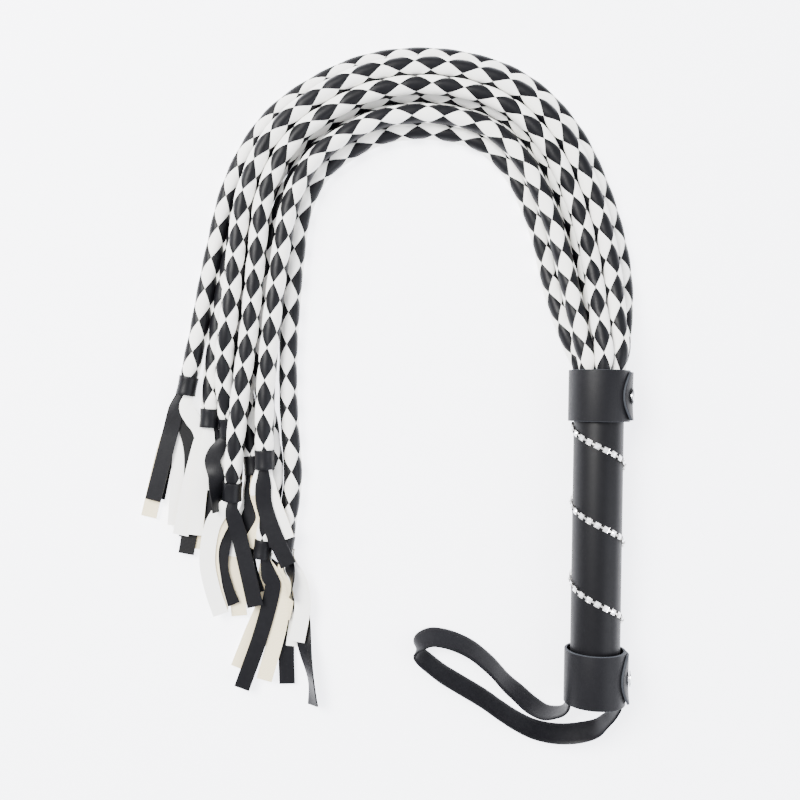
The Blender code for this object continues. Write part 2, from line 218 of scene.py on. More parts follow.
def catmull_rom(points, fineness=12):
    """A smooth curve through the points."""
    knots = np.array(points, float)
    knots = np.vstack([2 * knots[0] - knots[1], knots, 2 * knots[-1] - knots[-2]])
    found = []
    for a, b, c, d in zip(knots, knots[1:], knots[2:], knots[3:]):
        for t in np.arange(fineness) / fineness:
            bend = (2 * a - 5 * b + 4 * c - d) * t**2 + (3 * b - a - 3 * c + d) * t**3
            found.append(0.5 * (2 * b + (c - a) * t + bend))
    return np.vstack([found, knots[-2]])


def travelled(points):
    """The distance along a line at each of its points."""
    return np.concatenate([[0], np.cumsum(np.linalg.norm(np.diff(points, axis=0), axis=1))])


def at_distance(points, distance):
    """The places at these distances along a line."""
    along = travelled(points)
    return np.stack([np.interp(distance, along, points[:, k]) for k in range(points.shape[1])], axis=-1)


def smooth_keys(keys, distance):
    """Cubic values between (distance, value, ...) keys, with slopes that never overshoot."""
    keys = np.array(keys, float)
    place, value = keys[:, 0], keys[:, 1:]
    rise = np.diff(value, axis=0) / np.diff(place)[:, None]
    slope = np.zeros_like(value)
    same_way = rise[1:] * rise[:-1] > 0
    both = np.where(same_way, rise[1:] + rise[:-1], 1)
    slope[1:-1] = np.where(same_way, 2 * rise[1:] * rise[:-1] / both, 0)
    slope[-1] = rise[-1]
    k = np.clip(np.searchsorted(place, distance, side="right") - 1, 0, len(place) - 2)
    width = (place[k + 1] - place[k])[:, None]
    t = (distance[:, None] - place[k][:, None]) / width
    h00, h01 = 2 * t**3 - 3 * t**2 + 1, 3 * t**2 - 2 * t**3
    h10, h11 = t**3 - 2 * t**2 + t, t**3 - t**2
    return h00 * value[k] + h01 * value[k + 1] + width * (h10 * slope[k] + h11 * slope[k + 1])


def smoothstep(value):
    """0 below 0, 1 above 1, and a smooth rise between."""
    value = np.clip(value, 0, 1)
    return value * value * (3 - 2 * value)


def tail_line(keys):
    """One tail's centre line, from inside the collar to the far side of its binder. Also where the
    braid ends, which way it heads there, and its length outside the collar."""
    centre = catmull_rom([(x, y, 0) for x, y in TAIL_ROUTE])
    distance = np.linspace(0, keys[-1][0], 500)
    spots = at_distance(centre, distance)
    ahead = at_distance(centre, distance + 1.0) - at_distance(centre, np.maximum(distance - 1.0, 0))
    ahead /= np.linalg.norm(ahead, axis=1)[:, None]
    offset = smooth_keys(keys, distance)
    spots[:, :2] += np.stack([ahead[:, 1], -ahead[:, 0]], axis=1) * offset[:, :1]
    spots[:, 2] = offset[:, 1]
    braided = travelled(spots)[-1] - BINDER_LENGTH / 2 - GAP
    spots = at_distance(spots, np.linspace(0, braided, 480))
    heading = spots[-1] - spots[-12]
    heading /= np.linalg.norm(heading)
    beyond = spots[-1] + heading * np.linspace(1, BINDER_LENGTH + 3, 12)[:, None]
    inside = spots[0] - np.array([0, 1, 0]) * np.linspace(HIDDEN, 0.5, 12)[:, None]
    line = np.vstack([inside, spots, beyond])
    squeeze = 1 - BUNDLE_SQUEEZE + BUNDLE_SQUEEZE * smoothstep((line[:, 1] - MOUTH + 2) / 16)
    near_mouth = np.arange(len(line)) < 200
    line[:, 0] = np.where(near_mouth, line[:, 0] * squeeze, line[:, 0])
    line[:, 2] = np.where(near_mouth, line[:, 2] * squeeze, line[:, 2])
    return line, spots[-1], heading, braided


def sides(line):
    """Unit tangents, ups and lefts along a line that never stands upright."""
    tangent = np.gradient(line, axis=0)
    tangent /= np.linalg.norm(tangent, axis=1)[:, None]
    up = np.array([0, 0, 1.0]) - tangent * tangent[:, 2:]
    up /= np.linalg.norm(up, axis=1)[:, None]
    return tangent, up, np.cross(tangent, up)


def leather(name, dark, light, roughness, grain, depth):
    """Smooth-dressed leather: cloudy tone, fine pebbled grain and softly worn gloss."""
    made, wire, shader, place = finish_named(name, {"Specular IOR Level": 0.13})
    cloud = wire.node("ShaderNodeTexNoise", (), {"Vector": place, "Scale": 55.0, "Detail": 3.0})
    pebbles = wire.node("ShaderNodeTexVoronoi", (), {"Vector": place, "Scale": grain})
    creases = wire.node("ShaderNodeTexNoise", (), {"Vector": place, "Scale": 420.0, "Detail": 4.0})
    feed(wire, shader, Base_Color=(cloud * 0.7 + creases * 0.3).blend(dark, light),
         Roughness=creases * 0.16 + (roughness - 0.08))
    surface = pebbles * 0.7 + creases * 0.6
    raised = {"Height": surface, "Strength": 0.55, "Distance": depth * MM}
    feed(wire, shader, Normal=wire.node("ShaderNodeBump", (), raised))
    return made


def ribbed(name, dark, light, roughness):
    """The woven backing on the underside of the laces, with fine ribs across the lace."""
    made, wire, shader, place = finish_named(name, {"Specular IOR Level": 0.2})
    along = wire.node("ShaderNodeUVMap", {"uv_map": "lace"})
    ribs = wire.node("ShaderNodeTexWave", {"bands_direction": "X"},
                     {"Vector": along, "Scale": 420.0}, out="Fac")
    fuzz = wire.node("ShaderNodeTexNoise", (), {"Vector": place, "Scale": 900.0, "Detail": 3.0})
    feed(wire, shader, Base_Color=(ribs * 0.6 + fuzz * 0.4).blend(dark, light),
         Roughness=fuzz * 0.1 + roughness)
    raised = {"Height": ribs + fuzz * 0.3, "Strength": 0.6, "Distance": 0.12 * MM}
    feed(wire, shader, Normal=wire.node("ShaderNodeBump", (), raised))
    return made


black_lace = leather("black_lace", (0.0016, 0.0016, 0.002, 1), (0.0045, 0.0045, 0.006, 1),
                     0.4, 2300.0, 0.08)
white_lace = leather("white_lace", (0.86, 0.85, 0.80, 1), (0.92, 0.915, 0.89, 1),
                     0.45, 2300.0, 0.03)
black_back = ribbed("black_back", (0.001, 0.001, 0.001, 1), (0.006, 0.006, 0.0065, 1), 0.7)
cream_back = ribbed("cream_back", (0.68, 0.58, 0.36, 1), (0.86, 0.77, 0.55, 1), 0.75)


def shown(name, bm, materials, body):
    """Put a finished mesh into the scene, riding on a body of the frame if one is named."""
    mesh = bpy.data.meshes.new(name)
    bm.to_mesh(mesh)
    bm.free()
    obj = bpy.data.objects.new(name, mesh)
    bpy.context.scene.collection.objects.link(obj)
    for one in materials:
        mesh.materials.append(one)
    mesh.shade_smooth()
    mesh.set_sharp_from_angle(angle=math.radians(38))
    if body:
        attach(obj, body)
    return obj


def lace_sheet(bm, long, wide, place_of, thickness, face=0, back=0):
    """A grid laid by place_of(share along, share across) and thickened on its back. Its face takes
    one material, its back and edges the other."""
    uv = bm.loops.layers.uv.get("lace") or bm.loops.layers.uv.new("lace")
    before = set(bm.faces)
    made = bmesh.ops.create_grid(bm, x_segments=long, y_segments=wide, size=0.5)["verts"]
    shares = np.array([vert.co[:2] for vert in made]) + 0.5
    spots = place_of(shares[:, 0], shares[:, 1])
    length = np.linalg.norm(np.diff(spots[: long + 1], axis=0), axis=1).sum()
    places = dict(zip(made, shares))
    sheet = [patch for patch in bm.faces if patch not in before]
    for patch in sheet:
        for loop in patch.loops:
            share = places[loop.vert]
            loop[uv].uv = (share[0] * length * MM, share[1])
    for vert, spot in zip(made, spots):
        vert.co = spot * MM
    for patch in sheet:
        patch.normal_update()
    bmesh.ops.solidify(bm, geom=sheet, thickness=thickness * MM)
    outer = set(sheet)
    for patch in bm.faces:
        if patch not in before:
            patch.material_index = face if patch in outer else back


def braid(letter):
    """The six laces of one tail, plaited about its centre line."""
    line, end, heading, braided = tail_line(TAILS[letter])
    along = travelled(line)
    _, up, left = sides(line)
    turn_near, turn_far, start = BRAID_TURN[letter]
    first, last = 0.5, along[-1] - BRAID_SHORT_OF_END
    steps = round((last - first) * 2 / BRAID_PERIOD * STEPS_PER_CROSSING)
    bm = bmesh.new()
    for black in (True, False):
        for k in range(3):
            def plait(share_along, share_across):
                # p runs along the black laces and q along the white ones, 2 pi for each crossing
                middle = 4 * math.pi / BRAID_PERIOD * (first - start + share_along * (last - first))
                edge = 2 * math.pi * k + (2 * share_across - 1) * math.pi * LACE_FILL
                if black:
                    q, p = edge, middle - 2 * math.pi * k
                    lift = np.cos(p / 2) * (-1) ** k
                else:
                    p, q = 4 * math.pi * k - edge, middle - 2 * math.pi * k
                    lift = -np.cos(q / 2) * (-1) ** k
                s = np.clip(BRAID_PERIOD * (p + q) / (4 * math.pi) + start, 0.2, along[-1] - 0.5)
                turned = np.radians(turn_near + (turn_far - turn_near) * s / along[-1])
                angle = ((p - q) / 6 + turned)[:, None]
                crown = LACE_CROWN * (1 - (2 * share_across - 1) ** 2)
                squeeze = 1 - COLLAR_SQUEEZE + COLLAR_SQUEEZE * smoothstep((s - HIDDEN + 4) / 16)
                squeeze *= 1 - BINDER_SQUEEZE * smoothstep((s - HIDDEN - braided + 2.5) / 4)
                swell = BRAID_SWELL * np.tanh(CROSSING_SHARPNESS * lift)
                radius = (squeeze * (BRAID_RADIUS + LACE / 2 + swell + crown))[:, None]
                centre, above, beside = (
                    np.stack([np.interp(s, along, part[:, j]) for j in range(3)], axis=1)
                    for part in (line, up, left)
                )
                return centre + radius * (np.cos(angle) * above + np.sin(angle) * beside)

            colour = 0 if black else 1
            lace_sheet(bm, steps, 4, plait, LACE, colour, colour)
    if bm.calc_volume(signed=True) < 0:
        bmesh.ops.reverse_faces(bm, faces=bm.faces)
    tail = shown("braided_tail_" + letter, bm, (black_lace, white_lace), None)
    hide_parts("tail_" + letter)
    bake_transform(tail)
    return tail, line, end, heading


tails = {letter: braid(letter) for letter in TAILS}

# ---------------------------------------------------------------------------------------------
# The binders. A thin black leather lace wound a turn and a fifth round the end of each braid and
# glued down, so that its free end shows as a step along the band.
BINDER_INSIDE = 4.75
BINDER_THICK = 0.6
BINDER_STEP = 0.45
BINDER_START = 0.9
BINDER_TURNS = 1.2
SHARP_EDGE = math.radians(60)


def rounded_edges(bm, radius):
    """Round every edge where two faces of a sheet meet sharply."""
    edges = [
        edge for edge in bm.edges
        if len(edge.link_faces) == 2 and edge.calc_face_angle() > SHARP_EDGE
    ]
    bmesh.ops.bevel(bm, geom=edges, offset=radius * MM, segments=2, profile=0.5, affect="EDGES",
                    material=-1, clamp_overlap=True)


def binder(letter):
    """The lace wound round the end of one braid, its outer turn lying on the inner one."""
    _, _, end, heading = tails[letter]
    _, up, left = sides(np.array([end, end + heading]))
    begins = end + heading * GAP

    def wound(share_around, share_along):
        angle = BINDER_START + share_around * BINDER_TURNS * math.tau
        radius = (BINDER_INSIDE + 0.5 + BINDER_STEP * share_around)[:, None]
        waist = (1 - 0.05 * np.cos((share_along - 0.5) * math.pi))[:, None]
        outwards = np.cos(angle)[:, None] * up[0] + np.sin(angle)[:, None] * left[0]
        return begins + share_along[:, None] * heading * BINDER_LENGTH + radius * waist * outwards

    bm = bmesh.new()
    lace_sheet(bm, 56, 6, wound, BINDER_THICK)
    rounded_edges(bm, 0.15)
    piece = shown("binder_wrap_" + letter, bm, (black_lace,), "tails")
    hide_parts("binder_" + letter)
    return piece


binders = {letter: binder(letter) for letter in TAILS}

# ---------------------------------------------------------------------------------------------
# The fringes. Beyond its binder each braid opens into loose laces, flat strips of the same leather
# with a ribbed woven backing, cut off square. They fall across each other on the table.
LACE_WIDTH = 8.8
LACE_BUNCHED = 5.6
LACE_THICK = 0.85
LACE_CURL = 0.8
ROOM_BELOW = 0.85
LAYER = 1.05
FRINGE_STEP = 0.13
ROOT_SPREAD = 2.6
ROOT_RISE = 2.4
# A roll: its angle in degrees, where along the lace it peaks, and how far it reaches
FLAT = (0, 0.5, 1)
# Each lace: its leather and the face that is up, its layer, points along its middle, and its roll
FRINGES = {
    "a": [
        ("black", 4, [(-234.8, 155), (-239.8, 134.6), (-247.3, 103.2)], FLAT),
        ("cream", 1, [(-235, 152), (-242, 131), (-250.3, 93.5)], FLAT),
        ("black back", 3, [(-231.5, 152), (-229, 143), (-225.9, 128), (-226.5, 98)], FLAT),
        ("white", 5, [(-229, 156), (-225.5, 149.5), (-221, 143), (-217, 128), (-214, 110)], FLAT),
        ("white", 2, [(-232.9, 148), (-232.6, 132), (-234.9, 89.1)], FLAT),
        ("black", 0, [(-236, 150), (-241, 130), (-246, 104)], FLAT),
    ],
    "b": [
        ("white", 4, [(-219.9, 139), (-226.1, 113.5), (-231.3, 84.1)], FLAT),
        ("white", 5, [(-216.6, 138), (-220.5, 113.7), (-223.1, 84.4)], FLAT),
        ("black back", 2, [(-217, 134.8), (-223, 108), (-228.6, 73.1)], FLAT),
        ("cream", 1, [(-217, 134.9), (-220.1, 108.1), (-221.9, 75.9)], FLAT),
        ("black", 3, [(-214, 134), (-216.5, 113.6), (-218.6, 93.5)], FLAT),
        ("black", 0, [(-218, 130), (-225, 105), (-229, 82)], FLAT),
    ],
    "c": [
        ("black", 6, [(-210, 136), (-213.5, 127), (-211, 116.5), (-209.4, 98)], (72, 1.0, 0.6)),
        ("cream", 3, [(-207.3, 133), (-208.5, 120), (-209.5, 104)], FLAT),
        ("black", 2, [(-209, 130), (-212, 112), (-214, 90)], FLAT),
        ("white", 1, [(-208, 130), (-213, 110), (-217, 86)], FLAT),
        ("white", 4, [(-206, 134), (-206, 122), (-208, 108)], FLAT),
        ("black", 0, [(-210, 130), (-214, 112), (-218, 96)], FLAT),
    ],
    "d": [
        ("white", 6, [(-205.2, 99.9), (-213, 89.7), (-215.6, 70.9), (-212.6, 55), (-207.5, 40.4)],
         FLAT),
        ("cream", 5, [(-206.1, 96), (-213.7, 78), (-212.1, 58.1), (-207.8, 42.2)], FLAT),
        ("black", 4, [(-205.6, 90), (-208.7, 68.4), (-205.8, 55.1), (-201.6, 45.2)], FLAT),
        ("cream", 2, [(-204, 90), (-202.4, 68.2), (-199.5, 53.5), (-197.9, 38.8)], FLAT),
        ("black", 8, [(-201.4, 98), (-197.1, 82.9), (-192.2, 63.2), (-188, 45.5)], FLAT),
        ("black", 3, [(-205, 92), (-211, 75), (-207, 55)], FLAT),
    ],
    "e": [
        ("black", 4, [(-191.5, 112), (-191.4, 98.2), (-191.4, 80)], FLAT),
        ("cream", 5, [(-188, 108), (-184.4, 95), (-188, 86), (-193, 79)], FLAT),
        ("black", 3, [(-190, 105), (-194.6, 88), (-193, 68), (-188, 52)], FLAT),
        ("white", 1, [(-193, 105), (-195, 85), (-196, 65)], FLAT),
        ("white", 2, [(-192, 106), (-198, 88), (-200, 72)], FLAT),
        ("black", 0, [(-191, 105), (-196, 84), (-197, 62)], FLAT),
    ],
    "f": [
        ("black", 12, [(-183.6, 117), (-183.4, 103.4), (-177.5, 86.5), (-169.4, 69.6)], FLAT),
        ("white", 11, [(-181.6, 115), (-178.6, 104), (-174.7, 94.3), (-170.8, 83.9)], FLAT),
        ("white", 11, [(-186.2, 117), (-186.6, 112), (-186.4, 108)], FLAT),
        ("black", 10, [(-183, 112), (-181, 98), (-176, 80)], FLAT),
    ],
    "g": [
        ("white", 6, [(-169, 68), (-163.8, 58), (-161.9, 45), (-164.8, 26)], FLAT),
        ("black", 2, [(-168, 62), (-163, 42.3), (-160.7, 22.2), (-156.7, 3.6), (-155.5, -9.8)],
         (-64, 0.86, 0.42)),
        ("black", 4, [(-170, 66), (-168.3, 60), (-168.2, 50)], (-84, 0.8, 0.7)),
        ("cream", 3, [(-172.6, 63.7), (-171.7, 49), (-173.6, 38)], FLAT),
        ("white", 1, [(-168, 62), (-165, 45), (-167, 22)], FLAT),
        ("black", 0, [(-169, 62), (-166, 44), (-168, 30)], FLAT),
    ],
    "h": [
        ("black", 4, [(-181, 62), (-179, 55), (-185.3, 28.8), (-195.5, -1.4)], FLAT),
        ("cream", 1, [(-183, 62), (-181, 53.8), (-191, 28.2), (-198.1, 9.3)], FLAT),
        ("cream", 3, [(-180, 64), (-175, 52), (-174.9, 35.4), (-183.1, 3.2)], FLAT),
        ("black", 0, [(-176, 60), (-171.7, 35.2), (-171.2, 15.1), (-170.5, 0.4)], FLAT),
        ("white", 2, [(-180, 62), (-178, 45), (-182, 22)], FLAT),
        ("black", 0, [(-182, 62), (-184, 45), (-188, 28)], FLAT),
    ],
}
# The material of the upper side and of the lower side, among black, white, black back, cream back
FACES = {"black": (0, 2), "black back": (2, 0), "white": (1, 3), "cream": (3, 1)}


def hump(share, peak, reach):
    """1 at the peak, falling smoothly to 0 within reach of it."""
    return 1 - smoothstep(np.abs(share - peak) / reach)


def fringe(letter):
    """The loose laces of one braid, bunched in its binder and falling to the table beyond it."""
    _, _, end, heading = tails[letter]
    _, up, left = (part[0] for part in sides(np.array([end, end + heading])))
    mouth = end + heading * (2 * GAP + BINDER_LENGTH)
    lowest = TABLE_TOP + ROOM_BELOW + LACE_THICK + FRINGE_STEP * list(FRINGES).index(letter)
    middle_layer = np.mean([layer for _, layer, _, _ in FRINGES[letter]])
    bm = bmesh.new()
    for kind, layer, spots, roll in FRINGES[letter]:
        level = lowest + LAYER * layer
        spread = np.clip((np.array(spots[0]) - mouth[:2]) @ left[:2], -ROOT_SPREAD, ROOT_SPREAD)
        rise = np.clip(layer - middle_layer, -ROOT_RISE, ROOT_RISE)
        root = mouth + left * spread + up * rise
        ahead_of_mouth = [spot for spot in spots if (np.array(spot) - mouth[:2]) @ heading[:2] > 5]
        knots = [root - heading * 4, root + heading * 0.5]
        knots += [(x, y, root[2]) for x, y in ahead_of_mouth]
        path = catmull_rom(knots)
        along = travelled(path)
        fall = smoothstep((along - 4) / 24)
        path[:, 2] = root[2] + (level - root[2]) * fall
        long = travelled(path)[-1]

        def loose_lace(share_along, share_across):
            s = share_along * long
            middle = at_distance(path, s)
            ahead = at_distance(path, s + 0.6) - at_distance(path, s - 0.6)
            ahead /= np.linalg.norm(ahead, axis=1)[:, None]
            flat_up = np.array([0, 0, 1.0]) - ahead * ahead[:, 2:]
            flat_up /= np.linalg.norm(flat_up, axis=1)[:, None]
            flat_left = np.cross(ahead, flat_up)
            angle, peak, reach = roll
            lean = (math.radians(angle) * hump(share_along, peak, reach))[:, None]
            rolled_left = np.cos(lean) * flat_left + np.sin(lean) * flat_up
            rolled_up = np.cos(lean) * flat_up - np.sin(lean) * flat_left
            side = 2 * share_across - 1
            width = LACE_BUNCHED + (LACE_WIDTH - LACE_BUNCHED) * smoothstep((s - 3) / 11)
            curl = LACE_CURL * (1 - smoothstep((s - 3) / 15)) * np.sign(rise + 0.1)
            at = middle + rolled_left * (-side * width / 2)[:, None]
            at -= rolled_up * (curl * side**2)[:, None]
            at[:, 2] += LACE_WIDTH / 2 * np.abs(np.sin(lean[:, 0]))
            return at

        face, back = FACES[kind]
        lace_sheet(bm, 40, 6, loose_lace, LACE_THICK, face, back)
    leathers = (black_lace, white_lace, black_back, cream_back)
    piece = shown("fringe_laces_" + letter, bm, leathers, "tails")
    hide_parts("fringe_" + letter)
    return piece


fringes = {letter: fringe(letter) for letter in TAILS}

for letter, (tail, line, _, _) in tails.items():
    tuple(line[0] * MM)

# ---------------------------------------------------------------------------------------------
# The grip. A wooden dowel wrapped in smooth black leatherette and closed at the end by a disc of the
# same leather. The real cover is glued with a butt seam at the back, which is not drawn.
GRIP = (12.6, 13.5)
GRIP_ENDS = (0.4, 157.7)
ALONG_Y = Matrix.Rotation(math.radians(-90), 4, "X")
black_grip = leather("black_grip", (0.0018, 0.0018, 0.0022, 1), (0.0036, 0.0036, 0.0048, 1),
                     0.46, 2600.0, 0.035)


def lathed(name, profile, place, steps, materials, body, shape=None):
    """Spin a (radius, height) outline about the axis that place puts it on, then shape its points."""
    bm = bmesh.new()
    rim = [bm.verts.new((radius, 0, height)) for radius, height in profile]
    on_axis = profile[0][0] == 0 and profile[-1][0] == 0
    pairs = list(zip(rim, rim[1:])) + ([] if on_axis else [(rim[-1], rim[0])])
    edges = [bm.edges.new(pair) for pair in pairs]
    bmesh.ops.spin(bm, geom=rim + edges, cent=(0, 0, 0), axis=(0, 0, 1), angle=math.tau,
                   steps=steps, use_merge=True)
    bmesh.ops.remove_doubles(bm, verts=bm.verts, dist=1e-4)
    bmesh.ops.recalc_face_normals(bm, faces=bm.faces)
    bmesh.ops.transform(bm, matrix=place, verts=bm.verts)
    if shape:
        for vert in bm.verts:
            vert.co = shape(vert.co)
    bmesh.ops.scale(bm, vec=(MM, MM, MM), verts=bm.verts)
    return shown(name, bm, materials, body)


def ring_outline(inner, outer, start, end, edge):
    """A ring's section with quarter-round outer edges."""
    corner = [(edge * math.sin(t), edge * (1 - math.cos(t))) for t in np.linspace(0, math.pi / 2, 5)]
    low = [(outer - edge + a, start + b) for a, b in corner]
    high = [(outer - edge + a, end - b) for a, b in corner[::-1]]
    return [(inner, start), *low, *high, (inner, end)]


grip = lathed("grip_cover", ring_outline(*GRIP, *GRIP_ENDS, 0.35), ALONG_Y, 120,
              (black_grip,), "handle")
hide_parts("grip_wrap")

wood, wire, shader, place = finish_named("turned_wood", {"Specular IOR Level": 0.3})
rings = wire.node("ShaderNodeTexWave", {"bands_direction": "X"},
                  {"Vector": place, "Scale": 260.0, "Distortion": 3.0}, "Fac")
feed(wire, shader, Base_Color=rings.blend((0.55, 0.38, 0.21, 1), (0.68, 0.50, 0.30, 1)),
     Roughness=rings * 0.1 + 0.55)

# ---------------------------------------------------------------------------------------------
# The two collars. Bands of thick black leather bent round the ends of the grip, with square cut
# edges painted paler and bluish as a highlight. Each carries its own tongue, which wraps on round to a
# snap at the side.
COLLAR = 16.6
HIDE = 1.4
COLLARS = {"upper": (152.0, 180.0), "lower": (-2.0, 27.0)}
RIM_EASE = 0.35
WAIST = 0.25
RESTING_BELOW = -12
black_hide = leather("black_hide", (0.002, 0.002, 0.0026, 1), (0.005, 0.005, 0.0065, 1),
                     0.48, 1900.0, 0.08)
# The cut edges' paler, bluish colour is a painted highlight of light catching the edges.
highlit_cut_edge = leather("highlit_cut_edge", (0.016, 0.018, 0.022, 1), (0.05, 0.054, 0.062, 1), 0.7, 3200.0, 0.05)


def collar_band(name, start, end):
    def settled(point):
        """A hand-bent band isn't quite round: it eases out at its rims, save where it rests."""
        share = (point.y - start) / (end - start)
        ease = RIM_EASE * (2 * share - 1) ** 2 - WAIST
        if point.z <= RESTING_BELOW:
            ease = 0
        turn = math.atan2(point.z, point.x)
        radius = math.hypot(point.x, point.z) + ease * (0.6 + 0.4 * math.cos(2 * turn + 0.8))
        return Vector((radius * math.cos(turn), point.y, radius * math.sin(turn)))

    band = lathed("collar_" + name, ring_outline(COLLAR - HIDE, COLLAR, start, end, 0.3), ALONG_Y,
                  96, (black_hide, highlit_cut_edge), "handle", settled)
    for face in band.data.polygons:
        if abs(face.normal.y) > 0.5:
            face.material_index = 1
    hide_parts(name + "_collar_band")


for name, ends in COLLARS.items():
    collar_band(name, *ends)

# ---------------------------------------------------------------------------------------------
# The snap tongues. The free end of each collar, a strip with a rounded nose and a hole punched for
# the snap. Their corners have sprung out a little from the band.
FLAP_ROOT = -45.0
FLAP_NOSE = 20.0
FLAP_WIDE = 26.0
# Where round the band each snap and each tongue's tip is, in degrees
SNAPS = {"upper": (24.0, 54.0), "lower": (14.0, 46.0)}
HOLE = 3.2
HOLE_AT = 17
CAP_BACK = 18.6
DOME_RADIUS, DOME_BASE, DOME_RISE = 4.5, 18.95, 1.3
CAP_RIM = [(4.1, CAP_BACK), (4.5, 18.75), (4.55, 19.0), (4.4, 19.25)]
chrome, wire, shader, place = finish_named("chrome", {"Metallic": 1.0})
haze = wire.node("ShaderNodeTexNoise", (), {"Vector": place, "Scale": 600.0, "Detail": 4.0})
feed(wire, shader, Base_Color=haze.blend((0.62, 0.63, 0.65, 1), (0.82, 0.82, 0.83, 1)),
     Roughness=haze * 0.12 + 0.1)


def punched(tongue, at_snap):
    """Cut the snap's hole through a tongue."""
    punch = bmesh.new()
    bmesh.ops.create_cone(punch, cap_ends=True, segments=32, radius1=HOLE, radius2=HOLE, depth=10,
                          matrix=at_snap @ Matrix.Translation((0, 0, HOLE_AT)))
    bmesh.ops.scale(punch, vec=(MM, MM, MM), verts=punch.verts)
    cutter = bpy.data.objects.new("punch", bpy.data.meshes.new("punch"))
    punch.to_mesh(cutter.data)
    punch.free()
    bpy.context.scene.collection.objects.link(cutter)
    hole = tongue.modifiers.new("hole", "BOOLEAN")
    hole.object = cutter
    hole.solver = "EXACT"
    bpy.context.view_layer.update()
    graph = bpy.context.evaluated_depsgraph_get()
    whole = bpy.data.meshes.new_from_object(tongue.evaluated_get(graph))
    tongue.modifiers.clear()
    tongue.data = whole
    bpy.data.objects.remove(cutter)


def flap(name, start, end):
    """One collar's tongue with its snap cap."""
    snap, tip = SNAPS[name]
    middle = (start + end) / 2

    def wrapped(share_along, share_across):
        side = 2 * share_across - 1
        reach = tip - FLAP_NOSE * side**2
        angle = np.radians(FLAP_ROOT + share_along * (reach - FLAP_ROOT))
        proud = 0.9 * share_along**3 * np.clip(side, 0, 1) ** 2 - 0.25 * (1 - side**2)
        radius = COLLAR + 0.25 + HIDE + proud
        across = middle - side * FLAP_WIDE / 2
        return np.stack([radius * np.cos(angle), across, radius * np.sin(angle)], axis=1)

    bm = bmesh.new()
    lace_sheet(bm, 40, 24, wrapped, HIDE)
    rounded_edges(bm, 0.25)
    tongue = shown("snap_flap_" + name, bm, (black_hide, highlit_cut_edge), None)
    outwards = Matrix.Rotation(-math.radians(snap), 4, "Y") @ Matrix.Rotation(math.radians(90), 4, "Y")
    at_snap = Matrix.Translation((0, middle, 0)) @ outwards
    punched(tongue, at_snap)
    for face in tongue.data.polygons:
        out = Vector((face.center.x, 0, face.center.z)).normalized()
        if abs(face.normal @ out) < 0.6:
            face.material_index = 1
    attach(tongue, name + "_flap")
    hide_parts(name + "_collar_flap")
    dome = [
        (DOME_RADIUS * math.cos(t), DOME_BASE + DOME_RISE * math.sin(t))
        for t in np.linspace(0.25, math.pi / 2, 12)
    ]
    cap = [(0, CAP_BACK), *CAP_RIM, *dome[1:-1], (0, DOME_BASE + DOME_RISE)]
    domed = lathed("snap_cap_" + name, cap, at_snap, 48, (chrome,), name + "_flap")
    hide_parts(name + "_snap_cap")


for name, ends in COLLARS.items():
    flap(name, *ends)

# ---------------------------------------------------------------------------------------------
# The crystal chain. Cup chain wound round the grip in one long spiral: clear faceted stones in
# square silver cups, with a short link between each two.
CHAIN_LEAD = 41.9
CHAIN_FRONT = 137.3
CHAIN_ENDS = (149.5, 30.0)
CHAIN_COIL = GRIP[1]
STONE_PITCH = 5.15
CUP = 3.1
CUP_DEEP = 1.2
CUP_RIM = 0.32
STONE_DEEP = 0.75
STONE_LIFT = 1.45
silver, wire, shader, place = finish_named("silver", {"Metallic": 1.0})
haze = wire.node("ShaderNodeTexNoise", (), {"Vector": place, "Scale": 900.0, "Detail": 3.0})
feed(wire, shader, Base_Color=haze.blend((0.66, 0.65, 0.62, 1), (0.85, 0.84, 0.82, 1)),
     Roughness=haze * 0.15 + 0.14)
stone_look = {"Specular IOR Level": 1.0, "Coat Weight": 1.0, "Coat IOR": 1.9}
stone, wire, shader, place = finish_named("clear_stone", stone_look)
glint = wire.node("ShaderNodeTexNoise", (), {"Vector": place, "Scale": 700.0, "Detail": 1.0})
feed(wire, shader, Base_Color=glint.blend((0.80, 0.81, 0.84, 1), (0.99, 0.99, 1.0, 1)),
     Roughness=glint * 0.05 + 0.02, Metallic=glint * 0.3 + 0.2)

CHAIN_RATE = math.tau / CHAIN_LEAD
CHAIN_PER_MM = math.hypot(1, CHAIN_COIL * 1.1 * CHAIN_RATE)


def along_chain(steps):
    """Where the chain is after so many pitches: a place on the grip, facing out, and out itself."""
    height = CHAIN_ENDS[0] - steps * STONE_PITCH / CHAIN_PER_MM
    angle = math.pi / 2 + (height - CHAIN_FRONT) * CHAIN_RATE
    out = Vector((math.cos(angle), 0, math.sin(angle)))
    pull = CHAIN_COIL * CHAIN_RATE
    onward = Vector((-math.sin(angle) * pull, 1, math.cos(angle) * pull)).normalized()
    basis = Matrix((onward, out.cross(onward), out)).transposed().to_4x4()
    return Matrix.Translation(Vector((0, height, 0)) + out * (CHAIN_COIL - 0.1)) @ basis, out


def set_stone(bm, put, out):
    """A square cup, sunk inside its rim, with a faceted stone in it."""
    before = set(bm.faces)
    square = Matrix.Translation((0, 0, CUP_DEEP / 2)) @ Matrix.Rotation(math.pi / 4, 4, "Z")
    bmesh.ops.create_cone(bm, cap_ends=True, segments=4, radius1=CUP * 0.60, radius2=CUP * 0.70,
                          depth=CUP_DEEP, matrix=put @ square)
    sides_and_caps = [face for face in bm.faces if face not in before]
    top = max(sides_and_caps, key=lambda face: face.calc_center_median() @ out)
    bmesh.ops.inset_region(bm, faces=[top], thickness=CUP_RIM, depth=-0.15)
    before = set(bm.faces)
    turned = Matrix.Translation((0, 0, STONE_LIFT)) @ Matrix.Rotation(math.pi / 8, 4, "Z")
    bmesh.ops.create_cone(bm, cap_ends=True, segments=8, radius1=CUP * 0.46, radius2=CUP * 0.26,
                          depth=STONE_DEEP, matrix=put @ turned)
    for face in bm.faces:
        if face not in before:
            face.material_index = 1


